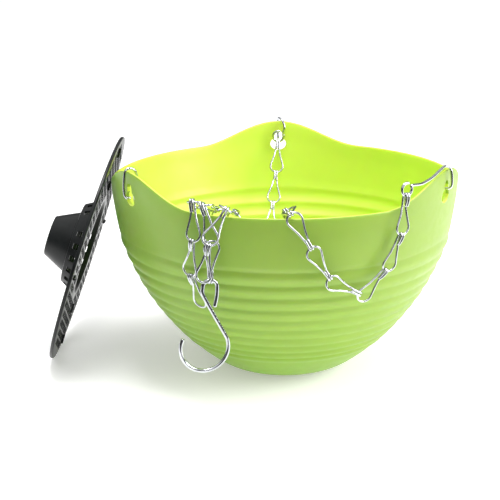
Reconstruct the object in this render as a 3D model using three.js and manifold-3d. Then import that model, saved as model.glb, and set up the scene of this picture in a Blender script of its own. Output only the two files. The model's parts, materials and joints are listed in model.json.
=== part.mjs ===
// A hanging planter: a rippled plastic bowl with three rim peaks, three rim hooks, three chains of
// double-hook wire links, an S-hook, and the lattice insert that covers the water reservoir.
// Millimetres, +Z up. The assembly's origin is the middle of its own footprint, on the ground.

import * as THREE from 'three';
import { mergeVertices } from 'three/addons/utils/BufferGeometryUtils.js';
import Module from 'manifold-3d';

const wasm = await Module();
wasm.setup();

// ---------------------------------------------------------------- driving dimensions

const RIM_RADIUS = 145;
const VALLEY_HEIGHT = 1.133 * RIM_RADIUS;
const PEAK_RISE = 20.3;
const PEAK_HALF_WIDTH = 31;
const PEAK_AZIMUTHS = { back: 92.5, left: 212.5, right: 332.5 };
const WALL = 2.4;
const BOWL_SEGMENTS = 48;
const RIPPLES = 9;
const RIPPLE_TOP = 0.78 * RIM_RADIUS;
const RIPPLE_BOTTOM = 0.16 * RIM_RADIUS;
const RIPPLE_DEPTH = 1.3;
const FOOT_RADIUS = 31;
const FOOT_WIDTH = 4;
const FOOT_HEIGHT = 1.8;
const FOOT_NOTCH = { length: 26, depth: 1.5 };

const SLOT_WIDTH = 7.6;
const SLOT_TOP = VALLEY_HEIGHT + PEAK_RISE - 9;
const LOBE_RADIUS = 7.5;
const LOBE_HEIGHT = SLOT_TOP - 12.5;

const LINK_PITCH = 30;
const LINK_WIRE = 1.6;
const BOW_RADIUS = 5.3;
const HOOK_GAP_RADIUS = 2.8;
const HOOK_HALF_SPREAD = 1.25;
const TAIL_LENGTH = 8;

const RIM_HOOK_WIRE = 2.2;
const EYE_RADIUS = 5;
const S_HOOK_WIRE = 3;

const DISC_RADIUS = 100.3;
const DISC_THICKNESS = 2.4;
const DISC_LIP = 3.6;
const DISC_LEAN = 18;
const DISC_FOOT = { x: -201, y: 22 };
const CUP_MOUTH_RADIUS = 43.5;
const CUP_STEP_RADIUS = 35;
const CUP_STEP_DEPTH = 15;
const CUP_NECK_RADIUS = 27.4;
const CUP_FLOOR_RADIUS = 17.3;
const CUP_DEPTH = 36;
const CUP_WALL = 1.8;
const CUP_WINDOWS = 21;

const LIME = { color: 0xa6cf4b, roughness: 0.45, metalness: 0 };
const BLACK = { color: 0x26292b, roughness: 0.4, metalness: 0 };
const ZINC = { color: 0xc9ccd0, roughness: 0.25, metalness: 1 };

// ---------------------------------------------------------------- helpers

const rad = THREE.MathUtils.degToRad;
const { clamp, smoothstep } = THREE.MathUtils;

function solidOf(geometry) {
  const bare = geometry.clone();
  bare.deleteAttribute('normal');
  bare.deleteAttribute('uv');
  const merged = mergeVertices(bare, 1e-4);
  return new wasm.Manifold(new wasm.Mesh({
    numProp: 3,
    vertProperties: new Float32Array(merged.attributes.position.array),
    triVerts: new Uint32Array(merged.index.array),
  }));
}

function geometryOf(solid) {
  const mesh = solid.getMesh();
  const geometry = new THREE.BufferGeometry();
  geometry.setAttribute('position', new THREE.BufferAttribute(mesh.vertProperties, 3));
  geometry.setIndex(new THREE.BufferAttribute(mesh.triVerts, 1));
  geometry.computeVertexNormals();
  return geometry;
}

function cutAway(body, cutters) {
  return cutters.reduce((left, cutter) => left.subtract(solidOf(cutter)), body);
}

function piece(name, geometry, look) {
  const mesh = new THREE.Mesh(geometry, new THREE.MeshStandardMaterial(look));
  mesh.name = name;
  return mesh;
}

function around(azimuth, radius, height) {
  return new THREE.Vector3(
    radius * Math.cos(rad(azimuth)),
    radius * Math.sin(rad(azimuth)),
    height,
  );
}

// A wire path whose extruded sections fall exactly on its points.
class WirePath extends THREE.Curve {
  constructor(points) {
    super();
    this.points = points;
  }

  getPoint(t) {
    const place = clamp(t, 0, 1) * (this.points.length - 1);
    const index = Math.min(Math.floor(place), this.points.length - 2);
    return this.points[index].clone().lerp(this.points[index + 1], place - index);
  }

  getPointAt(t) {
    return this.getPoint(t);
  }

  getTangentAt(t) {
    const step = 0.5 / (this.points.length - 1);
    return this.getPoint(t + step).sub(this.getPoint(t - step)).normalize();
  }
}

function wire(points, diameter, sides) {
  const section = new THREE.Shape();
  for (let i = 0; i < sides; i += 1) {
    const angle = (2 * Math.PI * i) / sides;
    const corner = [0.5 * diameter * Math.cos(angle), 0.5 * diameter * Math.sin(angle)];
    if (i === 0) section.moveTo(...corner);
    else section.lineTo(...corner);
  }
  section.closePath();
  return new THREE.ExtrudeGeometry(section, {
    steps: points.length - 1,
    extrudePath: new WirePath(points),
  });
}

// ---------------------------------------------------------------- bowl

// The outer wall from the foot up, as radius and height.
const OUTER_WALL = new THREE.SplineCurve([
  [44.5, 2.9], [58, 8.7], [72, 18.9], [86.3, 31.9], [101.6, 49.3], [116.3, 69.6],
  [127.9, 91.4], [137.6, 116], [143.3, 145], [145, VALLEY_HEIGHT], [146, 200],
].map(([radius, height]) => new THREE.Vector2(radius, height)));

function wallRadius(height) {
  let low = 0;
  let high = 1;
  for (let i = 0; i < 30; i += 1) {
    const middle = 0.5 * (low + high);
    if (OUTER_WALL.getPoint(middle).y < height) low = middle;
    else high = middle;
  }
  return OUTER_WALL.getPoint(low).x;
}

function rimRise(azimuth) {
  const offsets = Object.values(PEAK_AZIMUTHS).map((peak) => {
    const turn = Math.abs(azimuth - peak) % 360;
    return Math.min(turn, 360 - turn);
  });
  const offset = Math.min(...offsets, PEAK_HALF_WIDTH);
  return 0.5 * PEAK_RISE * (1 + Math.cos((Math.PI * offset) / PEAK_HALF_WIDTH));
}

function bowlProfile() {
  const profile = [
    [0, FOOT_HEIGHT],
    [FOOT_RADIUS - FOOT_WIDTH, FOOT_HEIGHT],
    [FOOT_RADIUS - FOOT_WIDTH, 0],
    [FOOT_RADIUS, 0],
    [FOOT_RADIUS + 1, FOOT_HEIGHT],
    [44.5, 2.9],
  ];
  for (const height of [7, 14]) profile.push([wallRadius(height), height]);
  const rows = 2 * RIPPLES;
  for (let i = 0; i <= rows; i += 1) {
    const height = RIPPLE_BOTTOM + ((RIPPLE_TOP - RIPPLE_BOTTOM) * i) / rows;
    const ripple = i % 2 === 0 ? 0 : RIPPLE_DEPTH;
    profile.push([wallRadius(height) + ripple - 0.5 * RIPPLE_DEPTH, height]);
  }
  for (const height of [125, 145]) profile.push([wallRadius(height), height]);
  const lip = wallRadius(VALLEY_HEIGHT);
  profile.push([lip, VALLEY_HEIGHT - 0.8], [lip - 0.6, VALLEY_HEIGHT]);
  profile.push([lip - WALL + 0.6, VALLEY_HEIGHT], [lip - WALL, VALLEY_HEIGHT - 0.8]);
  for (const height of [145, 125, 100, 75, 52, 34, 20, 10]) {
    profile.push([wallRadius(height) - WALL - 0.5 * RIPPLE_DEPTH, height]);
  }
  profile.push([40, 5.2], [0, 4.6]);
  return profile.map(([radius, height]) => new THREE.Vector2(radius, height));
}

function raiseRimPeaks(geometry) {
  const place = geometry.attributes.position;
  for (let i = 0; i < place.count; i += 1) {
    const azimuth = THREE.MathUtils.radToDeg(Math.atan2(place.getY(i), place.getX(i)));
    const share = smoothstep(place.getZ(i), 110, VALLEY_HEIGHT);
    place.setZ(i, place.getZ(i) + share * rimRise((azimuth + 360) % 360));
  }
}

function keyholeCutters(azimuth) {
  const lobe = new THREE.CylinderGeometry(LOBE_RADIUS, LOBE_RADIUS, 30, 16);
  lobe.rotateZ(Math.PI / 2).scale(1, 1, 0.8);
  lobe.translate(RIM_RADIUS, 0, LOBE_HEIGHT);
  const slot = new THREE.BoxGeometry(30, SLOT_WIDTH, SLOT_TOP - LOBE_HEIGHT);
  slot.translate(RIM_RADIUS, 0, 0.5 * (SLOT_TOP + LOBE_HEIGHT));
  return [lobe, slot].map((cutter) => cutter.rotateZ(rad(azimuth)));
}

function footNotchCutters() {
  return [0, 90, 180, 270].map((azimuth) => {
    const notch = new THREE.BoxGeometry(3 * FOOT_WIDTH, FOOT_NOTCH.length, 2 * FOOT_NOTCH.depth);
    notch.translate(FOOT_RADIUS - 0.5 * FOOT_WIDTH, 0, 0);
    return notch.rotateZ(rad(azimuth));
  });
}

function makeBowl() {
  const shell = new THREE.LatheGeometry(bowlProfile(), BOWL_SEGMENTS);
  shell.rotateX(Math.PI / 2);
  raiseRimPeaks(shell);
  const cutters = [
    ...Object.values(PEAK_AZIMUTHS).flatMap(keyholeCutters),
    ...footNotchCutters(),
  ];
  return piece('planter_bowl', geometryOf(cutAway(solidOf(shell), cutters)), LIME);
}

// ---------------------------------------------------------------- reservoir insert

const LATTICE_CELL = { across: 15, along: 28, rib: 2 };

function insertBody() {
  const profile = [
    [0, -CUP_DEPTH],
    [CUP_FLOOR_RADIUS, -CUP_DEPTH],
    [CUP_NECK_RADIUS, -CUP_STEP_DEPTH],
    [CUP_STEP_RADIUS, -CUP_STEP_DEPTH],
    [CUP_MOUTH_RADIUS - 1.3, -DISC_THICKNESS],
    [DISC_RADIUS - 3, -DISC_THICKNESS],
    [DISC_RADIUS - 3, -DISC_LIP],
    [DISC_RADIUS, -DISC_LIP],
    [DISC_RADIUS, 0],
    [CUP_MOUTH_RADIUS - CUP_WALL, 0],
    [CUP_STEP_RADIUS - CUP_WALL, CUP_WALL - CUP_STEP_DEPTH],
    [CUP_NECK_RADIUS - CUP_WALL, CUP_WALL - CUP_STEP_DEPTH],
    [CUP_FLOOR_RADIUS - CUP_WALL, CUP_WALL - CUP_DEPTH],
    [0, CUP_WALL - CUP_DEPTH],
  ].map(([radius, height]) => new THREE.Vector2(radius, height));
  return new THREE.LatheGeometry(profile, BOWL_SEGMENTS).rotateX(Math.PI / 2);
}

function latticeHole(x, y) {
  const halfAlong = 0.5 * LATTICE_CELL.along - LATTICE_CELL.rib;
  const halfAcross = 0.5 * LATTICE_CELL.across - 0.6 * LATTICE_CELL.rib;
  const diamond = new THREE.Shape();
  diamond.moveTo(x, y - halfAlong);
  diamond.lineTo(x + halfAcross, y);
  diamond.lineTo(x, y + halfAlong);
  diamond.lineTo(x - halfAcross, y);
  diamond.closePath();
  return new THREE.ExtrudeGeometry(diamond, { depth: 10, bevelEnabled: false }).translate(0, 0, -6);
}

function finPlaces() {
  return [0.58, 0.88].flatMap((share) => [0, 1, 2, 3].map((quarter) => (
    around(90 * quarter, share * DISC_RADIUS, 0)
  )));
}

function latticeCutters() {
  const cutters = [];
  const fins = finPlaces();
  const { across, along } = LATTICE_CELL;
  const inner = CUP_MOUTH_RADIUS + 2;
  const outer = DISC_RADIUS - 4;
  for (let row = -18; row <= 18; row += 1) {
    for (let column = -9; column <= 9; column += 1) {
      if ((row + column) % 2 === 0) {
        const x = 0.5 * row * across;
        const y = 0.5 * column * along;
        const near = Math.max(Math.abs(x) - 0.5 * across, 0);
        const reach = Math.hypot(Math.abs(x) + 0.2 * across, Math.abs(y) + 0.4 * along);
        const clearOfCup = Math.hypot(near, Math.max(Math.abs(y) - 0.4 * along, 0)) > inner;
        const clearOfFins = fins.every((fin) => Math.hypot(fin.x - x, fin.y - y) > 0.6 * across);
        if (clearOfCup && clearOfFins && reach < outer) cutters.push(latticeHole(x, y));
      }
    }
  }
  return cutters;
}

function windowCutters() {
  const cutters = [];
  for (let i = 0; i < CUP_WINDOWS; i += 1) {
    if (i % 7 !== 6) {
      const window = new THREE.BoxGeometry(16, 5, 7.5);
      window.translate(0.5 * (CUP_MOUTH_RADIUS + CUP_STEP_RADIUS), 0, -8);
      cutters.push(window.rotateZ((2 * Math.PI * i) / CUP_WINDOWS));
    }
  }
  return cutters;
}

function discFins() {
  return finPlaces().map((place) => {
    const fin = new THREE.BoxGeometry(8.4, 1.6, 4);
    return fin.rotateZ(Math.atan2(place.y, place.x)).translate(place.x, place.y, -0.2);
  });
}

function makeInsert() {
  const cut = cutAway(solidOf(insertBody()), [...latticeCutters(), ...windowCutters()]);
  const whole = discFins().reduce((sum, fin) => sum.add(solidOf(fin)), cut);
  const insert = piece('reservoir_insert', geometryOf(whole), BLACK);
  const lean = rad(DISC_LEAN);
  insert.rotation.y = Math.PI / 2 + lean;
  insert.position.set(
    DISC_FOOT.x + DISC_RADIUS * Math.sin(lean),
    DISC_FOOT.y,
    DISC_RADIUS * Math.cos(lean),
  );
  return insert;
}

// ---------------------------------------------------------------- chain links

// One wire link: a narrow double hook at the origin, open towards -Y round the wire it hangs on,
// and a bow whose wire crosses the Y axis at LINK_PITCH. The link lies flat in XY.
function linkPoints() {
  const side = [new THREE.Vector3(HOOK_HALF_SPREAD, TAIL_LENGTH, HOOK_GAP_RADIUS)];
  for (const turn of [0, 45, 90, 135, 180]) {
    const rise = -HOOK_GAP_RADIUS * Math.sin(rad(turn));
    side.push(new THREE.Vector3(HOOK_HALF_SPREAD, rise, HOOK_GAP_RADIUS * Math.cos(rad(turn))));
  }
  side.push(new THREE.Vector3(0.35 * BOW_RADIUS, 7, -0.8 * HOOK_GAP_RADIUS));
  const bowCentre = LINK_PITCH - BOW_RADIUS;
  for (const turn of [-15, 15, 50]) {
    const across = BOW_RADIUS * Math.cos(rad(turn));
    side.push(new THREE.Vector3(across, bowCentre + BOW_RADIUS * Math.sin(rad(turn)), 0));
  }
  const apex = new THREE.Vector3(0, LINK_PITCH, 0);
  const mirrored = side.map((point) => new THREE.Vector3(-point.x, point.y, point.z)).reverse();
  return [...side, apex, ...mirrored];
}

const LINK_GEOMETRY = wire(linkPoints(), LINK_WIRE, 4);

// How far the next link can slide round a bow, and turn about its own length, in its play.
const MAX_SLIDE = 85;
const MAX_TWIST = 7;
const SIDEWAYS = { left: -50, back: -62, right: 0 };

// The way a link at this place faces: outwards outside the bowl, else to a point over it, which
// lies to one side in the front half so that the chain leaves the bowl at a slant.
function facing(place, sideways) {
  if (Math.hypot(place.x, place.y) > RIM_RADIUS - 1) {
    return new THREE.Vector3(place.x, place.y, 0).normalize();
  }
  const x = place.y < 0 ? sideways : 0;
  return new THREE.Vector3(x, 0, 2 * VALLEY_HEIGHT).sub(place).normalize();
}

// Hangs the next link on a bow and aims it at a place. A bow has a centre, a radius and three axes:
// x across, y along and z out of its plane.
function nextLink(bow, target, sideways) {
  const way = target.clone().sub(bow.centre);
  const limit = rad(MAX_SLIDE);
  const ahead = Math.hypot(way.dot(bow.y), way.dot(bow.z));
  const slide = clamp(Math.atan2(way.dot(bow.x), ahead), -limit, limit);
  const outward = bow.y.clone().applyAxisAngle(bow.z, -slide);
  const hinge = bow.x.clone().applyAxisAngle(bow.z, -slide);
  const origin = bow.centre.clone().addScaledVector(outward, bow.radius);
  const aim = target.clone().sub(origin);
  const swing = Math.atan2(aim.dot(bow.z), aim.dot(outward));
  const y = outward.clone().applyAxisAngle(hinge, swing);
  const z = hinge.clone().cross(y);
  const wanted = facing(origin.clone().addScaledVector(y, 0.5 * LINK_PITCH), sideways);
  wanted.addScaledVector(y, -wanted.dot(y)).normalize();
  const offset = Math.atan2(z.clone().cross(wanted).dot(y), z.dot(wanted));
  const twist = clamp(offset, -rad(MAX_TWIST), rad(MAX_TWIST));
  z.applyAxisAngle(y, twist);
  const x = y.clone().cross(z);
  return { origin, x, y, z };
}

function bowOf(link) {
  return {
    centre: link.origin.clone().addScaledVector(link.y, LINK_PITCH - BOW_RADIUS),
    radius: BOW_RADIUS,
    x: link.x,
    y: link.y,
    z: link.z,
  };
}

function linkMesh(name, link) {
  const mesh = piece(name, LINK_GEOMETRY.clone(), ZINC);
  mesh.position.copy(link.origin);
  mesh.quaternion.setFromRotationMatrix(new THREE.Matrix4().makeBasis(link.x, link.y, link.z));
  mesh.userData.hinge = { at: link.origin.toArray(), axis: link.x.toArray() };
  return mesh;
}

function layChain(eye, route, sideways) {
  const links = [];
  let bow = eye;
  for (const target of route) {
    const link = nextLink(bow, target, sideways);
    links.push(link);
    bow = bowOf(link);
  }
  return links;
}

// A slack stretch of chain between two places, as the joints of a hanging chain.
function hangingRoute(start, end, count) {
  const length = count * LINK_PITCH;
  const flat = new THREE.Vector3(end.x - start.x, end.y - start.y, 0);
  const span = flat.length();
  const drop = end.z - start.z;
  const goal = Math.sqrt(length * length - drop * drop) / span;
  let low = 1e-3;
  let high = 8;
  for (let i = 0; i < 50; i += 1) {
    const middle = 0.5 * (low + high);
    if (Math.sinh(middle) / middle < goal) low = middle;
    else high = middle;
  }
  const scale = span / (2 * low);
  const middleShift = scale * Math.atanh(drop / length);
  const left = -0.5 * span + middleShift;
  const startArc = scale * Math.sinh(left / scale);
  const points = [];
  for (let i = 1; i <= count; i += 1) {
    const run = scale * Math.asinh((startArc + i * LINK_PITCH) / scale);
    const point = start.clone().addScaledVector(flat, (run - left) / span);
    point.z += scale * (Math.cosh(run / scale) - Math.cosh(left / scale));
    points.push(point);
  }
  return points;
}

// ---------------------------------------------------------------- rim hooks

// The wire goes from the keyhole, up outside the wall, over the rim and down to its eye. It enters
// the keyhole this far below the slot's top.
function rimHook(name, peak, entryDrop, overRim, eye) {
  const outside = [
    around(peak, RIM_RADIUS - 1.5, SLOT_TOP - entryDrop),
    around(peak, RIM_RADIUS + 2.9, SLOT_TOP - entryDrop + 1.5),
    around(peak, RIM_RADIUS + 3.7, SLOT_TOP + 3 - 0.4 * entryDrop),
    around(peak, RIM_RADIUS + 2.4, SLOT_TOP + 9.4),
  ];
  const across = around(eye.azimuth + 90, 1, 0);
  const loop = [];
  for (let step = 0; step < 320; step += 45) {
    const turn = eye.start + eye.sweep * step;
    const point = eye.centre.clone().addScaledVector(across, EYE_RADIUS * Math.sin(rad(turn)));
    loop.push(point.setZ(eye.centre.z + EYE_RADIUS * Math.cos(rad(turn))));
  }
  const mesh = piece(name, wire([...outside, ...overRim, ...loop], RIM_HOOK_WIRE, 5), ZINC);
  mesh.userData.hinge = {
    at: around(peak, RIM_RADIUS - 1.2, SLOT_TOP + 12.6).toArray(),
    axis: around(peak + 90, 1, 0).toArray(),
  };
  return mesh;
}

function eyeBow(centre, azimuth, isInside) {
  const y = new THREE.Vector3(0, 0, -1);
  const z = around(isInside ? azimuth + 180 : azimuth, 1, 0);
  return { centre, radius: EYE_RADIUS, x: y.clone().cross(z), y, z };
}

const INSIDE_EYE = { radius: RIM_RADIUS - 7.5, height: SLOT_TOP - 4.6 };

function leftHook() {
  const azimuth = PEAK_AZIMUTHS.left;
  const overRim = [
    around(azimuth, RIM_RADIUS - 1.2, SLOT_TOP + 11.8),
    around(azimuth, RIM_RADIUS - 5.6, SLOT_TOP + 10),
    around(azimuth, INSIDE_EYE.radius, SLOT_TOP + 5),
  ];
  const centre = around(azimuth, INSIDE_EYE.radius, INSIDE_EYE.height);
  return {
    mesh: rimHook('rim_hook_left', azimuth, 12, overRim, { centre, azimuth, start: 0, sweep: 1 }),
    eye: eyeBow(centre, azimuth, true),
  };
}

// This hook leans to one side on its way down inside the wall.
function backHook() {
  const azimuth = PEAK_AZIMUTHS.back;
  const overRim = [
    around(azimuth - 0.4, RIM_RADIUS - 1.2, SLOT_TOP + 11.8),
    around(azimuth - 1.6, RIM_RADIUS - 5.2, SLOT_TOP + 9.8),
    around(azimuth - 2.4, INSIDE_EYE.radius, SLOT_TOP + 4),
  ];
  const centre = around(azimuth, INSIDE_EYE.radius, INSIDE_EYE.height);
  return {
    mesh: rimHook('rim_hook_back', azimuth, 7, overRim, { centre, azimuth, start: -60, sweep: -1 }),
    eye: eyeBow(centre, azimuth, true),
  };
}

// This hook runs along its peak's slope to an eye that hangs outside the wall.
function rightHook() {
  const peak = PEAK_AZIMUTHS.right;
  const azimuth = 307.5;
  const overRim = [
    around(peak - 1.5, RIM_RADIUS - 0.8, SLOT_TOP + 12),
    around(peak - 5, RIM_RADIUS - 1, SLOT_TOP + 10.6),
    around(peak - 11, RIM_RADIUS + 0.2, SLOT_TOP + 7.4),
    around(peak - 17, RIM_RADIUS + 2.6, SLOT_TOP + 6),
    around(peak - 20, RIM_RADIUS + 4.4, SLOT_TOP + 6.6),
  ];
  const centre = around(azimuth, RIM_RADIUS + 5.5, SLOT_TOP + 4.9);
  return {
    mesh: rimHook('rim_hook_right', peak, 7, overRim, { centre, azimuth, start: 60, sweep: 1 }),
    eye: eyeBow(centre, azimuth, false),
  };
}

// ---------------------------------------------------------------- chain routes

// Each route lists where the links' bows come to, as azimuth, radius and height.
function along(places) {
  return places.map(([azimuth, radius, height]) => around(azimuth, radius, height));
}

function rightRoute() {
  const swag = along([
    [-54, 150.5, 145.5], [-58, 145, 116.5], [-67, 140, 94], [-82, 148, 122],
    [-85, 152, 153], [-91, 148.5, 183],
  ]);
  const throughBowl = along([
    [-90, 119, 163], [-90, 117, 133], [-93, 116, 105], [-106, 116, 112], [-107.5, 117, 141],
    [-106.5, 121, 170],
  ]);
  const outAgain = along([[-107, 154, 173], [-108, 160, 143], [-112, 160, 114]]);
  return [...swag, ...throughBowl, ...outAgain];
}

function backRoute() {
  const eyeFoot = around(PEAK_AZIMUTHS.back, INSIDE_EYE.radius, INSIDE_EYE.height - EYE_RADIUS);
  const crossing = around(-114.5, 120, 162);
  const slack = hangingRoute(eyeFoot, crossing, 12);
  return [...slack, ...along([[-114.7, 149.5, 171.5], [-111, 150, 143]])];
}

function leftRoute() {
  return along([
    [-150, 133, 135.5], [-149.5, 124.5, 107], [-149, 111.5, 80.5], [-148, 93, 60], [-143, 72, 44],
    [-123, 54, 45], [-122, 77, 62], [-122, 97, 84], [-123, 111, 109], [-123, 118.5, 137],
    [-122, 121, 166], [-117.5, 150.5, 175], [-119, 151.5, 145], [-120, 145.5, 115],
    [-118, 134, 87],
  ]);
}

// The last link of the back chain hangs the other way up: its bow is hooked through the bow above,
// and its double hook holds the S-hook.
const BOW_OVERLAP = 3;
const HOLDER_TILT = -3;
const S_HOOK_AZIMUTH = -75;

function hookHolder(bow) {
  const apex = bow.centre.clone().addScaledVector(bow.y, bow.radius - BOW_OVERLAP);
  const z = around(S_HOOK_AZIMUTH, 1, 0);
  const y = new THREE.Vector3(0, 0, 1).applyAxisAngle(z, rad(HOLDER_TILT));
  const origin = apex.clone().addScaledVector(y, -LINK_PITCH);
  return { origin, x: y.clone().cross(z), y, z };
}

// ---------------------------------------------------------------- S-hook

const BIG_LOOP_RADIUS = 18.3;
const BIG_LOOP_CENTRE = new THREE.Vector3(-4.8, -53, 0);
const SMALL_LOOP_RADIUS = 5.6;

// In the hook's own plane, with the origin where its small loop hangs.
function sHookPoints() {
  const points = [new THREE.Vector3(3.4, -21, 0)];
  for (const turn of [-10, 30, 60, 90, 120, 150, 190]) {
    const x = SMALL_LOOP_RADIUS * Math.cos(rad(turn));
    points.push(new THREE.Vector3(x, SMALL_LOOP_RADIUS * (Math.sin(rad(turn)) - 1), 0));
  }
  points.push(new THREE.Vector3(-4.6, -13, 0));
  for (const turn of [28, 8, -15, -40, -65, -90, -115, -140, -165, -190, -206]) {
    const across = BIG_LOOP_RADIUS * Math.cos(rad(turn));
    const up = BIG_LOOP_RADIUS * Math.sin(rad(turn));
    points.push(BIG_LOOP_CENTRE.clone().add(new THREE.Vector3(across, up, 0)));
  }
  return points;
}

function makeSHook(holder) {
  const mesh = piece('s_hook', wire(sHookPoints(), S_HOOK_WIRE, 6), ZINC);
  const up = new THREE.Vector3(0, 0, 1);
  const across = up.clone().cross(holder.z);
  mesh.position.copy(holder.origin).addScaledVector(holder.y, -SMALL_LOOP_RADIUS);
  mesh.position.addScaledVector(up, SMALL_LOOP_RADIUS);
  mesh.quaternion.setFromRotationMatrix(new THREE.Matrix4().makeBasis(across, up, holder.z));
  mesh.userData.hinge = { at: holder.origin.toArray(), axis: holder.x.toArray() };
  return mesh;
}

// ---------------------------------------------------------------- assembly

function chainMeshes(side, links) {
  return links.map((link, index) => {
    const number = String(index + 1).padStart(2, '0');
    return linkMesh(`${side}_chain_link_${number}`, link);
  });
}

function makePlanter() {
  const left = leftHook();
  const back = backHook();
  const right = rightHook();
  const backLinks = layChain(back.eye, backRoute(), SIDEWAYS.back);
  const holder = hookHolder(bowOf(backLinks.at(-1)));
  return [
    makeBowl(),
    makeInsert(),
    left.mesh,
    back.mesh,
    right.mesh,
    ...chainMeshes('left', layChain(left.eye, leftRoute(), SIDEWAYS.left)),
    ...chainMeshes('back', [...backLinks, holder]),
    ...chainMeshes('right', layChain(right.eye, rightRoute(), SIDEWAYS.right)),
    makeSHook(holder),
  ];
}

const model = new THREE.Group();
model.add(...makePlanter());
const box = new THREE.Box3().setFromObject(model, true);
const middle = box.getCenter(new THREE.Vector3());
model.position.set(-middle.x, -middle.y, -box.min.z);

const assembly = new THREE.Group();
assembly.add(model);

export default assembly;
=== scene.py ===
"""The looks of a hanging planter: a rippled lime bowl, a black lattice insert, and zinc wire chains.

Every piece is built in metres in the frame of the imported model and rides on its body.
"""

import json
import math

import bmesh
import bpy
import numpy as np
from mathutils import Matrix, Vector


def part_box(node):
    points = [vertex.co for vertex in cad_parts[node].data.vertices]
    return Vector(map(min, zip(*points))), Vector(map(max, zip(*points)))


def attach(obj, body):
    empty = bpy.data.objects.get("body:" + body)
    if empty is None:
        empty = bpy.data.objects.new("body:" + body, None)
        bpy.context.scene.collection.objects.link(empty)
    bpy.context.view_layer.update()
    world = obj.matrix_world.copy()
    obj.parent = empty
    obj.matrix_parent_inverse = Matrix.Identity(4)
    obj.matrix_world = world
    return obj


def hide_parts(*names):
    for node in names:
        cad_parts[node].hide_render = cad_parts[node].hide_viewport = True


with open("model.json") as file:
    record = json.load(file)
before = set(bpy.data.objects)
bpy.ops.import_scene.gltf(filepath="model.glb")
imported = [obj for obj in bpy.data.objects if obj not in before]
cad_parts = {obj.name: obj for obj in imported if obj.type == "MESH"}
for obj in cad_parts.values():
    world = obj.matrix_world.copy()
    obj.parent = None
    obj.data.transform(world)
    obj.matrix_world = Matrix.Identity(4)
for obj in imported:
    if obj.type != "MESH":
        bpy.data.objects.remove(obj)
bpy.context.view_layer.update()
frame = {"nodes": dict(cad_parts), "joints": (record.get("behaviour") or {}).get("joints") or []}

# ---------------------------------------------------------------- dimensions, in millimetres

MM = 0.001
RIM_RADIUS = 145.0
VALLEY_HEIGHT = 1.133 * RIM_RADIUS
PEAK_RISE = 20.3
PEAK_HALF_WIDTH = 31.0
PEAK_START_HEIGHT = 110
PEAK_AZIMUTHS = {"back": 92.5, "left": 212.5, "right": 332.5}
WALL = 2.4
BOWL_SEGMENTS = 288
OUTER_WALL = (
    (44.5, 2.9), (58, 8.7), (72, 18.9), (86.3, 31.9), (101.6, 49.3), (116.3, 69.6),
    (127.9, 91.4), (137.6, 116), (143.3, 145), (145, VALLEY_HEIGHT), (146, 200),
)
FOOT_RADIUS = 31.0
FOOT_WIDTH = 4.0
FOOT_HEIGHT = 1.8
FOOT_NOTCH = 26.0
RIPPLE_DEPTH = 1.0
RIPPLE_LOW = 6.0
RIPPLE_HIGH = 122.0
RIPPLE_GROOVES = (121, 108.6, 97.4, 86.3, 75.9, 66.0, 56.9, 48.1, 40.6, 33.8, 27.8)

SLOT_WIDTH = 7.6
SLOT_TOP = VALLEY_HEIGHT + PEAK_RISE - 9
LOBE_RADIUS = 7.5
LOBE_HEIGHT = SLOT_TOP - 12.5
KEYHOLE_REACH = 15

LINK_PITCH = 30.0
LINK_WIRE = 1.7
BOW_RADIUS = 5.8
LINKS_PER_CHAIN = 15

RIM_HOOK_WIRE = 2.2
EYE_RADIUS = 5.0
EYE_TURN = 318
S_HOOK_WIRE = 3.1
S_HOOK_SMALL_LOOP = 5.6
S_HOOK_BIG_LOOP = 18.3
S_HOOK_BIG_LOOP_CENTRE = (-4.8, -53)

DISC_RADIUS = 100.3
DISC_SEGMENTS = 168
DISC_THICKNESS = 1.9
DISC_LIP = 2.9
DISC_LEAN = math.radians(18)
CUP_MOUTH_RADIUS = 43.5
CUP_STEP_RADIUS = 35.0
CUP_STEP_DEPTH = 15.0
CUP_NECK_RADIUS = 27.4
CUP_FLOOR_RADIUS = 17.3
CUP_DEPTH = 36.0
CUP_WALL = 1.8
CUP_WINDOWS = 21
CELL_ACROSS = 8.0
CELL_ALONG = 17.0
CELL_RIB = 1.4
LATTICE_MARGIN = 3.4
FIN_HALF_LENGTH = 4.2

CAMERA_ELEVATION = math.radians(12.8)
CAMERA_DISTANCE = 7.5 * RIM_RADIUS * MM
CAMERA_LENS = 92.95
CAMERA_SHIFT = (-0.0694, -0.1492)

# The floor's own glow, and the line in front of the planter past which the floor is painted near-black for
# glossy rays only, a painted dark reflection, in metres.
FLOOR_GLOW = 0.34
DARK_REFLECTION_START = -0.30

# ---------------------------------------------------------------- places

_low, _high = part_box("planter_bowl")
AXIS_FOOT = Vector((0.5 * (_low.x + _high.x), 0.5 * (_low.y + _high.y), _low.z))


def around(azimuth, radius, height):
    """A point given by azimuth in degrees, radius and height about the bowl's axis."""
    turn = math.radians(azimuth)
    return Vector((radius * math.cos(turn), radius * math.sin(turn), height))


def spline(points, per_span=8):
    """A smooth curve through points, which it repeats at its ends."""
    knots = np.asarray([tuple(p) for p in points], float)
    padded = np.vstack([knots[:1], knots, knots[-1:]])
    out = []
    for i in range(len(knots) - 1):
        a, b, c, d = padded[i:i + 4]
        for t in np.linspace(0, 1, per_span, endpoint=False):
            out.append(0.5 * (2 * b + (c - a) * t + (2 * a - 5 * b + 4 * c - d) * t ** 2
                              + (3 * b - a - 3 * c + d) * t ** 3))
    out.append(knots[-1])
    return np.array(out)


WALL_CURVE = spline(OUTER_WALL, 40)


def wall_radius(height):
    return float(np.interp(height, WALL_CURVE[:, 1], WALL_CURVE[:, 0]))


# ---------------------------------------------------------------- mesh helpers

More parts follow.
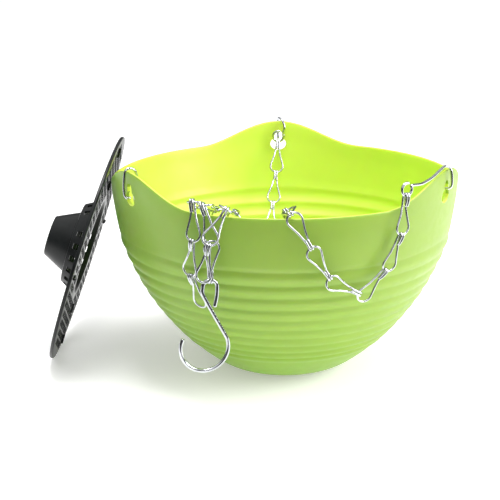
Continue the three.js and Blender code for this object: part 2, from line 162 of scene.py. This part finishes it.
def new_object(name, vertices, faces, smooth=True):
    mesh = bpy.data.meshes.new(name)
    mesh.from_pydata([tuple(v) for v in vertices], [], faces)
    mesh.validate()
    if smooth:
        mesh.polygons.foreach_set("use_smooth", [True] * len(mesh.polygons))
    piece = bpy.data.objects.new(name, mesh)
    bpy.context.scene.collection.objects.link(piece)
    return piece


def place(piece, matrix):
    """Moves a piece built in millimetres to its place in the frame, in metres."""
    piece.data.transform(Matrix.Scale(MM, 4) @ matrix)


def about_bowl():
    """From the bowl's own axis to its place in the frame, in millimetres."""
    return Matrix.Translation(AXIS_FOOT / MM)


def lathe(name, profile, segments):
    """A closed solid turned about Z from a profile that starts and ends on the axis."""
    inner = profile[1:-1]
    vertices = [(0, 0, profile[0][1]), (0, 0, profile[-1][1])]
    for k in range(segments):
        turn = 2 * math.pi * k / segments
        vertices += [(r * math.cos(turn), r * math.sin(turn), z) for r, z in inner]
    rows = len(inner)
    faces = []
    for k in range(segments):
        a = 2 + k * rows
        b = 2 + ((k + 1) % segments) * rows
        faces.append((0, b, a))
        faces += [(a + i, b + i, b + i + 1, a + i + 1) for i in range(rows - 1)]
        faces.append((1, a + rows - 1, b + rows - 1))
    return new_object(name, vertices, faces)


def wire(name, points, diameter, sides=14):
    """A round wire along points, with slightly domed ends."""
    path = np.asarray([tuple(p) for p in points], float)
    ahead = np.gradient(path, axis=0)
    ahead /= np.linalg.norm(ahead, axis=1)[:, None]
    side = np.cross(ahead[0], (0.31, 0.23, 0.92))
    rings = []
    for tangent in ahead:
        side = side - tangent * side.dot(tangent)
        side /= np.linalg.norm(side)
        rings.append((side, np.cross(tangent, side)))
    radius = 0.5 * diameter
    stations = [(0, -0.30 * radius, 0.62), (0, -0.12 * radius, 0.88)]
    stations += [(i, 0.0, 1.0) for i in range(len(path))]
    last = len(path) - 1
    stations += [(last, 0.12 * radius, 0.88), (last, 0.30 * radius, 0.62)]
    vertices = []
    for i, push, share in stations:
        centre = path[i] + ahead[i] * push
        u, v = rings[i]
        for k in range(sides):
            turn = 2 * math.pi * k / sides
            vertices.append(centre + share * radius * (math.cos(turn) * u + math.sin(turn) * v))
    faces = []
    for i in range(len(stations) - 1):
        a, b = i * sides, (i + 1) * sides
        faces += [(a + k, a + (k + 1) % sides, b + (k + 1) % sides, b + k) for k in range(sides)]
    faces.append(tuple(range(sides))[::-1])
    faces.append(tuple((len(stations) - 1) * sides + k for k in range(sides)))
    return new_object(name, vertices, faces)


def combine(piece, operation, others):
    """Cuts closed solids out of a piece (DIFFERENCE) or welds them on (UNION), and removes them."""
    for other in others:
        modifier = piece.modifiers.new("combine", "BOOLEAN")
        modifier.operation = operation
        modifier.solver = "EXACT"
        modifier.object = other
    graph = bpy.context.evaluated_depsgraph_get()
    mesh = bpy.data.meshes.new_from_object(piece.evaluated_get(graph))
    piece.modifiers.clear()
    piece.data = mesh
    for other in others:
        bpy.data.objects.remove(other)


def block(name, centre, size, turn):
    """A plain box turned about Z, used only as a cutter."""
    bm = bmesh.new()
    bmesh.ops.create_cube(bm, size=1.0)
    grow = Matrix.Diagonal((*size, 1.0))
    spin = Matrix.Rotation(turn, 4, "Z")
    bm.transform(spin @ Matrix.Translation(centre) @ grow)
    mesh = bpy.data.meshes.new(name)
    bm.to_mesh(mesh)
    bm.free()
    piece = bpy.data.objects.new(name, mesh)
    bpy.context.scene.collection.objects.link(piece)
    return piece


def prism(name, outline, low, high):
    """A closed solid with one outline in Y and Z, from low to high along X."""
    count = len(outline)
    vertices = [(x, y, z) for x in (low, high) for y, z in outline]
    faces = [tuple(range(count))[::-1], tuple(range(count, 2 * count))]
    faces += [(i, (i + 1) % count, count + (i + 1) % count, count + i) for i in range(count)]
    return new_object(name, vertices, faces, smooth=False)


def turn_outwards(piece):
    bm = bmesh.new()
    bm.from_mesh(piece.data)
    bmesh.ops.recalc_face_normals(bm, faces=bm.faces)
    bm.to_mesh(piece.data)
    bm.free()


def finish_shading(piece, angle):
    mesh = piece.data
    mesh.polygons.foreach_set("use_smooth", [True] * len(mesh.polygons))
    mesh.set_sharp_from_angle(angle=math.radians(angle))
    mesh.update()


def dress(piece, material, body, node):
    """Gives a piece its material, parents it to the body it rides on and hides the node it replaces."""
    piece.data.materials.clear()
    piece.data.materials.append(material)
    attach(piece, body)
    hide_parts(node)


# ---------------------------------------------------------------- bowl

def rim_rise(azimuth):
    gaps = [abs((azimuth - peak + 180) % 360 - 180) for peak in PEAK_AZIMUTHS.values()]
    gap = min(min(gaps), PEAK_HALF_WIDTH)
    return 0.5 * PEAK_RISE * (1 + math.cos(math.pi * gap / PEAK_HALF_WIDTH))


def ripple(height):
    """How far the wall swells at a height: rounded ridges with tighter grooves between them."""
    depths = [-groove for groove in RIPPLE_GROOVES]
    count = float(np.interp(-height, depths, range(len(depths))))
    fade = np.clip((RIPPLE_GROOVES[0] + 4 - height) / 6, 0, 1)
    fade *= np.clip((height - RIPPLE_GROOVES[-1] + 5) / 10, 0, 1)
    return fade * RIPPLE_DEPTH * (1.6 * abs(math.sin(math.pi * count)) ** 1.25 - 0.85)


def bowl_profile():
    """The wall's section from the middle of the foot, round the rim and back to the middle."""
    profile = [(0, FOOT_HEIGHT), (12, FOOT_HEIGHT), (FOOT_RADIUS - FOOT_WIDTH - 0.6, FOOT_HEIGHT)]
    profile += [(FOOT_RADIUS - FOOT_WIDTH, FOOT_HEIGHT - 0.5), (FOOT_RADIUS - FOOT_WIDTH + 0.2, 0.3)]
    profile += [(FOOT_RADIUS - FOOT_WIDTH + 0.6, 0), (FOOT_RADIUS - 0.6, 0), (FOOT_RADIUS, 0.4)]
    profile += [(FOOT_RADIUS + 0.4, 1.3), (FOOT_RADIUS + 1.2, 1.9), (36, 2.15), (40, 2.5)]
    profile += [(r, z) for r, z in WALL_CURVE[:24:4]]
    profile += [(wall_radius(z) + ripple(z), z) for z in np.arange(RIPPLE_LOW, RIPPLE_HIGH, 0.9)]
    profile += [(wall_radius(z), z) for z in np.arange(RIPPLE_HIGH, VALLEY_HEIGHT - 3, 3.5)]
    lip = wall_radius(VALLEY_HEIGHT)
    middle = lip - 0.5 * WALL
    for turn in np.linspace(0, 180, 11):
        swing = math.radians(turn)
        profile.append((middle + 0.5 * WALL * math.cos(swing), VALLEY_HEIGHT - 1.2 + 1.2 * math.sin(swing)))
    inner = WALL + 0.3
    profile += [(wall_radius(z) - inner, z) for z in np.arange(VALLEY_HEIGHT - 5, RIPPLE_HIGH, -3.5)]
    profile += [(wall_radius(z) - inner + ripple(z), z) for z in np.arange(121.5, 9.0, -0.9)]
    profile += [(44, 5.9), (36, 5.0), (20, 4.7), (0, 4.6)]
    return profile


def keyhole_cutter(azimuth):
    """A round-shouldered slot over a wide lobe, cut outwards through a rim peak."""
    half = 0.5 * SLOT_WIDTH
    shoulder = np.linspace(0, math.pi, 13)
    outline = [(half * math.cos(t), SLOT_TOP - half + half * math.sin(t)) for t in shoulder]
    start = math.asin(min(1.0, half / LOBE_RADIUS))
    for t in np.linspace(math.pi / 2 + start, 2.5 * math.pi - start, 25):
        outline.append((LOBE_RADIUS * math.cos(t), LOBE_HEIGHT + 0.8 * LOBE_RADIUS * math.sin(t)))
    cutter = prism("keyhole", outline, RIM_RADIUS - KEYHOLE_REACH, RIM_RADIUS + KEYHOLE_REACH)
    cutter.data.transform(Matrix.Rotation(math.radians(azimuth), 4, "Z"))
    turn_outwards(cutter)
    return cutter


def foot_notch(azimuth):
    centre = (FOOT_RADIUS - 0.5 * FOOT_WIDTH, 0, 0)
    return block("notch", centre, (3 * FOOT_WIDTH, FOOT_NOTCH, 3.0), math.radians(azimuth))


def make_bowl():
    bowl = lathe("bowl_shell", bowl_profile(), BOWL_SEGMENTS)
    for vertex in bowl.data.vertices:
        x, y, z = vertex.co
        share = np.clip((z - PEAK_START_HEIGHT) / (VALLEY_HEIGHT - PEAK_START_HEIGHT), 0, 1)
        share = share * share * (3 - 2 * share)
        vertex.co.z = z + share * rim_rise(math.degrees(math.atan2(y, x)))
    turn_outwards(bowl)
    cutters = [keyhole_cutter(azimuth) for azimuth in PEAK_AZIMUTHS.values()]
    cutters += [foot_notch(azimuth) for azimuth in (0, 90, 180, 270)]
    combine(bowl, "DIFFERENCE", cutters)
    finish_shading(bowl, 32)
    place(bowl, about_bowl())
    dress(bowl, LIME, "planter", "planter_bowl")
    bowl.data.materials.append(LIME_PAINTED_GLOW)
    # Faces that look towards the bowl's axis, or up from its floor, are its inside; they get the far
    # lighter copy of the lime, a painted glow of light coming through the wall.
    for face in bowl.data.polygons:
        outwards = (face.center - AXIS_FOOT) * Vector((1, 1, 0))
        outwards = outwards.normalized() - Vector((0, 0, 0.7))
        face.material_index = int(face.normal.dot(outwards) < 0)


# ---------------------------------------------------------------- reservoir insert

def insert_profile():
    """The insert's section from under its cup, out to the rim and back over its lattice face."""
    rim = DISC_RADIUS
    return [
        (0, -CUP_DEPTH), (CUP_FLOOR_RADIUS - 1.2, -CUP_DEPTH),
        (CUP_FLOOR_RADIUS - 0.2, -CUP_DEPTH + 0.3), (CUP_FLOOR_RADIUS + 0.4, -CUP_DEPTH + 1.2),
        (CUP_NECK_RADIUS, -CUP_STEP_DEPTH), (CUP_STEP_RADIUS - 0.8, -CUP_STEP_DEPTH),
        (CUP_STEP_RADIUS - 0.1, -CUP_STEP_DEPTH + 0.3), (CUP_STEP_RADIUS + 0.3, -CUP_STEP_DEPTH + 1),
        (CUP_MOUTH_RADIUS - 1.3, -DISC_THICKNESS), (rim - 3, -DISC_THICKNESS),
        (rim - 2.8, -DISC_LIP + 0.3), (rim - 2.4, -DISC_LIP), (rim - 0.7, -DISC_LIP),
        (rim - 0.15, -DISC_LIP + 0.4), (rim, -DISC_LIP + 1.0), (rim, -0.8), (rim - 0.2, -0.2),
        (rim - 0.8, 0), (CUP_MOUTH_RADIUS - CUP_WALL + 0.6, 0),
        (CUP_MOUTH_RADIUS - CUP_WALL - 0.1, -0.5),
        (CUP_STEP_RADIUS - CUP_WALL, CUP_WALL - CUP_STEP_DEPTH),
        (CUP_NECK_RADIUS - CUP_WALL, CUP_WALL - CUP_STEP_DEPTH),
        (CUP_FLOOR_RADIUS - CUP_WALL, CUP_WALL - CUP_DEPTH), (0, CUP_WALL - CUP_DEPTH),
    ]


def fin_places():
    """Middles of the eight fins, four on each of two rings."""
    rings = (0.58 * DISC_RADIUS, 0.88 * DISC_RADIUS)
    return [around(90 * quarter, ring, 0) for ring in rings for quarter in range(4)]


def cell_fits(x, y):
    """Whether a whole diamond hole at this middle clears the cup's mouth, the rim and the fins."""
    inner = math.hypot(max(abs(x) - 0.4 * CELL_ACROSS, 0), max(abs(y) - 0.35 * CELL_ALONG, 0))
    side_corner = math.hypot(abs(x) + 0.42 * CELL_ACROSS, y)
    end_corner = math.hypot(x, abs(y) + 0.42 * CELL_ALONG)
    if inner <= CUP_MOUTH_RADIUS + 1 or max(side_corner, end_corner) >= DISC_RADIUS - LATTICE_MARGIN:
        return False
    return all(math.hypot(fin.x - x, fin.y - y) > 0.62 * CELL_ACROSS for fin in fin_places())


def lattice_centres():
    """Middles of the diamond holes, every second place of a grid of half cells."""
    rows, columns = range(-26, 27), range(-12, 13)
    places = [(row, column) for row in rows for column in columns if (row + column) % 2 == 0]
    middles = [(0.5 * row * CELL_ACROSS, 0.5 * column * CELL_ALONG) for row, column in places]
    return [(x, y) for x, y in middles if cell_fits(x, y)]


def lattice_cutter():
    """All the diamond holes as one cutter of separate prisms."""
    half_along = 0.5 * CELL_ALONG - 1.05 * CELL_RIB
    half_across = 0.5 * CELL_ACROSS - 0.58 * CELL_RIB
    corners = ((0, -half_along), (half_across, 0), (0, half_along), (-half_across, 0))
    vertices, faces = [], []
    for x, y in lattice_centres():
        base = len(vertices)
        vertices += [(x + a, y + b, z) for z in (-6, 3) for a, b in corners]
        faces.append(tuple(base + i for i in (3, 2, 1, 0)))
        faces.append(tuple(base + i for i in (4, 5, 6, 7)))
        faces += [(base + i, base + (i + 1) % 4, base + 4 + (i + 1) % 4, base + 4 + i) for i in range(4)]
    return new_object("lattice", vertices, faces, smooth=False)


def window_cutters():
    reach = 0.5 * (CUP_MOUTH_RADIUS + CUP_STEP_RADIUS)
    turns = [2 * math.pi * i / CUP_WINDOWS for i in range(CUP_WINDOWS) if i % 7 != 6]
    return [block("window", (reach, 0, -8), (16, 5, 7.5), turn) for turn in turns]


def make_fin(point):
    """A small upright fin whose top edge is chamfered."""
    section = ((-0.8, -1.6), (0.8, -1.6), (0.8, 1.3), (0.35, 1.8), (-0.35, 1.8), (-0.8, 1.3))
    fin = prism("fin", section, -FIN_HALF_LENGTH, FIN_HALF_LENGTH)
    spin = Matrix.Rotation(math.atan2(point.y, point.x), 4, "Z")
    fin.data.transform(Matrix.Translation(point) @ spin)
    turn_outwards(fin)
    return fin


def make_insert():
    insert = lathe("insert_disc", insert_profile(), DISC_SEGMENTS)
    turn_outwards(insert)
    combine(insert, "DIFFERENCE", [lattice_cutter()])
    combine(insert, "DIFFERENCE", window_cutters())
    combine(insert, "UNION", [make_fin(point) for point in fin_places()])
    finish_shading(insert, 30)
    low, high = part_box("reservoir_insert")
    lean = Matrix.Rotation(0.5 * math.pi + DISC_LEAN, 4, "Y")
    centre = Vector((0, 0.5 * (low.y + high.y) / MM, 0))
    insert.data.transform(lean)
    bottom = min(vertex.co.z for vertex in insert.data.vertices)
    farthest = max(vertex.co.x for vertex in insert.data.vertices)
    centre.z = low.z / MM - bottom
    centre.x = high.x / MM - farthest
    place(insert, Matrix.Translation(centre))
    dress(insert, BLACK, "reservoir_insert", "reservoir_insert")


# ---------------------------------------------------------------- wires

def even(points, step=0.6):
    """The same path with its points an equal step apart."""
    path = np.asarray([tuple(p) for p in points], float)
    run = np.concatenate([[0], np.cumsum(np.linalg.norm(np.diff(path, axis=0), axis=1))])
    marks = np.linspace(0, run[-1], max(3, int(round(run[-1] / step)) + 1))
    return np.stack([np.interp(marks, run, path[:, k]) for k in range(3)], axis=1)


def soften(path, rounds):
    """Rounds the corners of an evenly spaced path and keeps its ends."""
    for _ in range(rounds):
        path[1:-1] = 0.25 * path[:-2] + 0.5 * path[1:-1] + 0.25 * path[2:]
    return path


def link_half(gap, spread, splay):
    """Half a link: tail, tight turn round the wire it hangs on, leg and half the bow."""
    side = [(spread - 0.25 + splay, 7.4, 0.62 * gap), (spread, 3.6, gap)]
    for turn in range(0, 181, 15):
        side.append((spread, -gap * math.sin(math.radians(turn)), gap * math.cos(math.radians(turn))))
    side += [(spread + 0.05, 2.5, -gap), (spread + 0.55, 7.5, -0.72 * gap), (3.0, 14.5, -0.22 * gap)]
    centre = LINK_PITCH - BOW_RADIUS
    for turn in range(-14, 91, 8):
        swing = math.radians(turn)
        side.append((BOW_RADIUS * math.cos(swing), centre + BOW_RADIUS * math.sin(swing), 0.0))
    return side


def link_path(gap, spread, splay, skew):
    """A whole link; skew leans its bow sideways a little, as in a link bent by hand."""
    side = link_half(gap, spread, splay)
    path = side + [(-x, y, z) for x, y, z in reversed(side)]
    leaned = [(x + skew * (y / LINK_PITCH) ** 2, y, z) for x, y, z in path]
    return soften(even(leaned), 3)


def link_axes(name, joint, sign):
    """A link's own frame in millimetres: X along the wire it hangs on and Y towards its bow."""
    origin = Vector(joint["pos_m"]) / MM
    across = Vector(joint["axis"]).normalized() * sign
    places = [vertex.co / MM for vertex in frame["nodes"][name].data.vertices]
    far = [point for point in places if (point - origin).length > LINK_PITCH - 1]
    along = sum(far, Vector()) / len(far) - origin
    along = (along - across * along.dot(across)).normalized()
    facing = across.cross(along)
    turn = Matrix((across, along, facing)).transposed().to_4x4()
    return Matrix.Translation(origin) @ turn


def joint_of(child):
    return next(joint for joint in frame["joints"] if joint["child"] == child)


def held_wire(side, number):
    """The diameter of the wire that a link's double hook goes round."""
    if number == 1:
        return RIM_HOOK_WIRE
    if side == "back" and number == LINKS_PER_CHAIN:
        return S_HOOK_WIRE
    return LINK_WIRE


def make_chain(side, seed):
    dice = np.random.default_rng(seed)
    for number in range(1, LINKS_PER_CHAIN + 1):
        name = f"{side}_chain_link_{number:02d}"
        reversed_link = side == "back" and number == LINKS_PER_CHAIN
        joint = joint_of("s_hook") if reversed_link else joint_of(name)
        sign = 1 if reversed_link or number % 2 else -1
        gap = 0.5 * (LINK_WIRE + held_wire(side, number)) + 0.15
        spread = 1.02 + dice.uniform(-0.05, 0.1)
        points = link_path(gap, spread, dice.uniform(-0.1, 0.35), dice.uniform(-0.3, 0.3))
        link = wire(f"{name}_wire", points, LINK_WIRE)
        place(link, link_axes(name, joint, sign))
        dress(link, ZINC, name, name)


def rim_hook(side, entry_drop, over_rim, eye):
    """One wire from its keyhole up over the rim to its eye; it enters this far below the slot's top."""
    peak = PEAK_AZIMUTHS[side]
    points = [
        around(peak, RIM_RADIUS - 1.5, SLOT_TOP - entry_drop),
        around(peak, RIM_RADIUS + 2.9, SLOT_TOP - entry_drop + 1.5),
        around(peak, RIM_RADIUS + 3.7, SLOT_TOP + 3 - 0.4 * entry_drop),
        around(peak, RIM_RADIUS + 2.4, SLOT_TOP + 9.4),
    ]
    points += over_rim
    across = around(eye["azimuth"] + 90, 1, 0)
    for step in np.linspace(0, EYE_TURN, 19):
        swing = math.radians(eye["start"] + eye["sweep"] * step)
        point = eye["centre"] + across * (EYE_RADIUS * math.sin(swing))
        point.z += EYE_RADIUS * math.cos(swing)
        points.append(point)
    path = soften(even(spline(points, 10)), 3)
    hook = wire(f"rim_hook_{side}_wire", path, RIM_HOOK_WIRE, 16)
    place(hook, about_bowl())
    dress(hook, HOOK_METAL, "planter", f"rim_hook_{side}")


def eye_at(azimuth, radius, height, start, sweep):
    return {"centre": around(azimuth, radius, height), "azimuth": azimuth, "start": start, "sweep": sweep}


def make_rim_hooks():
    inside = RIM_RADIUS - 7.5
    left, back, right = (PEAK_AZIMUTHS[side] for side in ("left", "back", "right"))
    rim_hook("left", 12, [
        around(left, RIM_RADIUS - 1.2, SLOT_TOP + 11.8),
        around(left, RIM_RADIUS - 5.6, SLOT_TOP + 10),
        around(left, inside, SLOT_TOP + 5),
    ], eye_at(left, inside, SLOT_TOP - 4.6, 0, 1))
    rim_hook("back", 7, [
        around(back - 0.4, RIM_RADIUS - 1.2, SLOT_TOP + 11.8),
        around(back - 1.6, RIM_RADIUS - 5.2, SLOT_TOP + 9.8),
        around(back - 2.4, inside, SLOT_TOP + 4),
    ], eye_at(back, inside, SLOT_TOP - 4.6, -60, -1))
    rim_hook("right", 7, [
        around(right - 1.5, RIM_RADIUS - 0.8, SLOT_TOP + 12),
        around(right - 5, RIM_RADIUS - 1, SLOT_TOP + 10.6),
        around(right - 11, RIM_RADIUS + 0.2, SLOT_TOP + 7.4),
        around(right - 17, RIM_RADIUS + 2.6, SLOT_TOP + 6),
        around(right - 20, RIM_RADIUS + 4.4, SLOT_TOP + 6.6),
    ], eye_at(307.5, RIM_RADIUS + 5.5, SLOT_TOP + 4.9, 60, 1))


def s_hook_points():
    points = [(3.4, -21, 0), (5.0, -13.5, 0)]
    for turn in range(-10, 191, 20):
        swing = math.radians(turn)
        points.append((S_HOOK_SMALL_LOOP * math.cos(swing), S_HOOK_SMALL_LOOP * (math.sin(swing) - 1), 0))
    points.append((-4.6, -13, 0))
    middle_x, middle_y = S_HOOK_BIG_LOOP_CENTRE
    for turn in range(28, -207, -13):
        swing = math.radians(turn)
        across, up = S_HOOK_BIG_LOOP * math.cos(swing), S_HOOK_BIG_LOOP * math.sin(swing)
        points.append((middle_x + across, middle_y + up, 0))
    return points


def make_s_hook():
    joint = joint_of("s_hook")
    holder = link_axes(f"back_chain_link_{LINKS_PER_CHAIN}", joint, 1)
    facing = holder.to_3x3().col[2]
    up = Vector((0, 0, 1))
    across = up.cross(facing).normalized()
    origin = holder.translation - holder.to_3x3().col[1] * S_HOOK_SMALL_LOOP + up * S_HOOK_SMALL_LOOP
    turn = Matrix((across, up, across.cross(up))).transposed().to_4x4()
    path = soften(even(spline(s_hook_points(), 8), 0.8), 4)
    hook = wire("s_hook_wire", path, S_HOOK_WIRE, 20)
    place(hook, Matrix.Translation(origin) @ turn)
    dress(hook, HOOK_METAL, "s_hook", "s_hook")


# ---------------------------------------------------------------- materials

class Nodes:
    """Short ways to add and join shader nodes in one material."""

    def __init__(self, name):
        self.material = bpy.data.materials.new(name)
        self.material.use_nodes = True
        self.tree = self.material.node_tree
        self.shader = self.tree.nodes["Principled BSDF"]

    def add(self, kind, **settings):
        node = self.tree.nodes.new(kind)
        for key, value in settings.items():
            if key in node.inputs:
                node.inputs[key].default_value = value
            else:
                setattr(node, key, value)
        return node

    def join(self, source, output, target, socket):
        self.tree.links.new(source.outputs[output], target.inputs[socket])

    def noise(self, scale, detail, roughness=0.5):
        place_node = self.add("ShaderNodeTexCoord")
        noise = self.add("ShaderNodeTexNoise", Scale=scale, Detail=detail, Roughness=roughness)
        self.join(place_node, "Object", noise, "Vector")
        return noise

    def ramp(self, source, output, stops):
        ramp = self.add("ShaderNodeValToRGB")
        while len(ramp.color_ramp.elements) < len(stops):
            ramp.color_ramp.elements.new(0.5)
        for element, (position, colour) in zip(ramp.color_ramp.elements, stops):
            element.position = position
            element.color = colour if isinstance(colour, tuple) else (colour, colour, colour, 1)
        self.join(source, output, ramp, "Fac")
        return ramp

    def set(self, **values):
        for key, value in values.items():
            self.shader.inputs[key.replace("_", " ")].default_value = value

    def bump(self, source, output, strength, distance, before=None):
        bump = self.add("ShaderNodeBump", Strength=strength, Distance=distance)
        self.join(source, output, bump, "Height")
        if before is not None:
            self.join(before, "Normal", bump, "Normal")
        self.join(bump, "Normal", self.shader, "Normal")
        return bump


def lime_plastic(name, deep, pale):
    """Semi-matte moulded plastic that scatters light inside it, with faint flow marks and fine grain."""
    kit = Nodes(name)
    flow = kit.noise(11, 3)
    colour = kit.ramp(flow, "Fac", ((0.3, (*deep, 1)), (0.7, (*pale, 1))))
    kit.join(colour, "Color", kit.shader, "Base Color")
    sheen = kit.noise(140, 4, 0.6)
    gloss = kit.ramp(sheen, "Fac", ((0.3, 0.36), (0.7, 0.47)))
    kit.join(gloss, "Color", kit.shader, "Roughness")
    kit.set(IOR=1.49)
    kit.shader.inputs["Subsurface Weight"].default_value = 0.55
    kit.shader.inputs["Subsurface Radius"].default_value = (0.6, 1.0, 0.12)
    kit.shader.inputs["Subsurface Scale"].default_value = 0.012
    grain = kit.noise(1900, 2)
    fine = kit.bump(grain, "Fac", 0.10, 0.00012)
    wave = kit.noise(26, 2)
    kit.bump(wave, "Fac", 0.25, 0.0006, fine)
    return kit.material


def black_plastic():
    """Satin black moulded plastic with dusty, slightly scuffed high spots."""
    kit = Nodes("black plastic")
    dust = kit.noise(60, 5, 0.65)
    colour = kit.ramp(dust, "Fac", ((0.35, (0.005, 0.006, 0.006, 1)), (0.75, (0.012, 0.014, 0.014, 1))))
    kit.join(colour, "Color", kit.shader, "Base Color")
    gloss = kit.ramp(dust, "Fac", ((0.3, 0.26), (0.7, 0.40)))
    kit.join(gloss, "Color", kit.shader, "Roughness")
    kit.set(IOR=1.42, Specular_IOR_Level=0.32)
    grain = kit.noise(1500, 2)
    kit.bump(grain, "Fac", 0.18, 0.00012)
    return kit.material


def zinc(name, dark, light, low, high):
    """Bright zinc-plated wire: drawn-wire streaks, small dull patches and tiny pits."""
    kit = Nodes(name)
    patches = kit.noise(170, 4, 0.6)
    colour = kit.ramp(patches, "Fac", ((0.3, (*dark, 1)), (0.7, (*light, 1))))
    kit.join(colour, "Color", kit.shader, "Base Color")
    kit.set(Metallic=1.0)
    gloss = kit.ramp(patches, "Fac", ((0.3, high), (0.7, low)))
    kit.join(gloss, "Color", kit.shader, "Roughness")
    pits = kit.noise(900, 3)
    kit.bump(pits, "Fac", 0.22, 0.00015)
    return kit.material


# One plastic in two copies: the inside copy is painted far lighter, a painted glow of light coming through
# the wall, and the outside copy is the darker one.
LIME = lime_plastic("lime plastic", (0.208, 0.304, 0.034), (0.240, 0.338, 0.042))
LIME_PAINTED_GLOW = lime_plastic("lime plastic painted glow", (0.52, 0.66, 0.075), (0.57, 0.71, 0.090))
BLACK = black_plastic()
ZINC = zinc("zinc chain wire", (0.50, 0.52, 0.55), (0.70, 0.71, 0.73), 0.12, 0.24)
HOOK_METAL = zinc("zinc hook wire", (0.48, 0.50, 0.53), (0.68, 0.69, 0.71), 0.08, 0.18)


# ---------------------------------------------------------------- stage

def paint_dark_front_reflection(kit):
    """Paints a dark reflection on shiny things: glossy rays that meet the floor in front of a line see
    near-black instead of the pale floor, which the camera still sees pale.
    """
    ray = kit.add("ShaderNodeLightPath")
    spot = kit.add("ShaderNodeTexCoord")
    split = kit.add("ShaderNodeSeparateXYZ")
    kit.join(spot, "Object", split, "Vector")
    front = kit.add("ShaderNodeMapRange")
    front.inputs["From Min"].default_value = DARK_REFLECTION_START
    front.inputs["From Max"].default_value = DARK_REFLECTION_START + 0.08
    front.inputs["To Min"].default_value = 1.0
    front.inputs["To Max"].default_value = 0.0
    kit.join(split, "Y", front, "Value")
    share = kit.add("ShaderNodeMath", operation="MULTIPLY")
    kit.tree.links.new(ray.outputs["Is Glossy Ray"], share.inputs[0])
    kit.tree.links.new(front.outputs["Result"], share.inputs[1])
    # A near-black stand-in that only glossy rays see: the painted dark reflection.
    dark = kit.add("ShaderNodeBsdfDiffuse")
    dark.inputs["Color"].default_value = (0.04, 0.04, 0.045, 1)
    mix = kit.add("ShaderNodeMixShader")
    kit.tree.links.new(share.outputs["Value"], mix.inputs[0])
    kit.tree.links.new(kit.shader.outputs["BSDF"], mix.inputs[1])
    kit.tree.links.new(dark.outputs["BSDF"], mix.inputs[2])
    kit.tree.links.new(mix.outputs["Shader"], kit.tree.nodes["Material Output"].inputs["Surface"])


def make_floor():
    """A wide pale floor with the faint mottling of painted board."""
    floor = new_object("floor", [(-9, -9, 0), (9, -9, 0), (9, 9, 0), (-9, 9, 0)], [(0, 1, 2, 3)])
    kit = Nodes("pale floor")
    mottle = kit.noise(0.8, 2)
    colour = kit.ramp(mottle, "Fac", ((0.3, (0.90, 0.90, 0.90, 1)), (0.7, (0.93, 0.93, 0.93, 1))))
    kit.join(colour, "Color", kit.shader, "Base Color")
    kit.set(Roughness=0.85, Emission_Strength=FLOOR_GLOW)
    kit.shader.inputs["Emission Color"].default_value = (1, 1, 1, 1)
    # Shiny things show a painted dark reflection of the floor in front of the planter.
    paint_dark_front_reflection(kit)
    floor.data.materials.append(kit.material)


def make_sky():
    """An even studio dome, brighter overhead, with darker walls for the metal to reflect."""
    world = bpy.data.worlds.new("studio")
    bpy.context.scene.world = world
    world.use_nodes = True
    tree = world.node_tree
    background = tree.nodes["Background"]
    place_node = tree.nodes.new("ShaderNodeTexCoord")
    split = tree.nodes.new("ShaderNodeSeparateXYZ")
    tree.links.new(place_node.outputs["Generated"], split.inputs["Vector"])
    ramp = tree.nodes.new("ShaderNodeValToRGB")
    stops = ((0.0, 0.05), (0.33, 0.12), (0.62, 0.62), (1.0, 1.0))
    while len(ramp.color_ramp.elements) < len(stops):
        ramp.color_ramp.elements.new(0.5)
    for element, (position, level) in zip(ramp.color_ramp.elements, stops):
        element.position = position
        element.color = (level, level, level, 1)
    tree.links.new(split.outputs["Z"], ramp.inputs["Fac"])
    tree.links.new(ramp.outputs["Color"], background.inputs["Color"])
    background.inputs["Strength"].default_value = 1.2


def soft_light(name, place_m, target_m, size, watts):
    data = bpy.data.lights.new(name, "AREA")
    data.shape = "RECTANGLE"
    data.size, data.size_y = size
    data.energy = watts
    light = bpy.data.objects.new(name, data)
    light.location = place_m
    light.rotation_euler = (Vector(target_m) - Vector(place_m)).to_track_quat("-Z", "Y").to_euler()
    bpy.context.scene.collection.objects.link(light)


def make_lights():
    centre = (0, 0, 0.09)
    soft_light("overhead_light", (0.06, -0.22, 1.5), centre, (0.6, 0.6), 17)
    soft_light("right_light", (1.6, -0.4, 0.8), centre, (0.9, 1.2), 33)
    soft_light("front_light", (0.5, -1.9, 0.9), centre, (0.9, 0.6), 2.5)


def make_camera():
    data = bpy.data.cameras.new("camera")
    data.lens = CAMERA_LENS
    data.sensor_width = 36
    data.shift_x, data.shift_y = CAMERA_SHIFT
    data.clip_start, data.clip_end = 0.05, 40
    camera = bpy.data.objects.new("camera", data)
    middle = AXIS_FOOT + Vector((0, 0, VALLEY_HEIGHT * MM))
    back = Vector((0, -math.cos(CAMERA_ELEVATION), math.sin(CAMERA_ELEVATION)))
    camera.location = middle + back * CAMERA_DISTANCE
    camera.rotation_euler = (0.5 * math.pi - CAMERA_ELEVATION, 0, 0)
    bpy.context.scene.collection.objects.link(camera)
    bpy.context.scene.camera = camera


# ---------------------------------------------------------------- the whole scene

make_camera()
make_sky()
make_lights()
make_floor()
make_bowl()
make_insert()
make_rim_hooks()
make_chain("left", 11)
make_chain("back", 12)
make_chain("right", 13)
make_s_hook()

bpy.context.scene.view_settings.view_transform = "Standard"
bpy.context.view_layer.update()
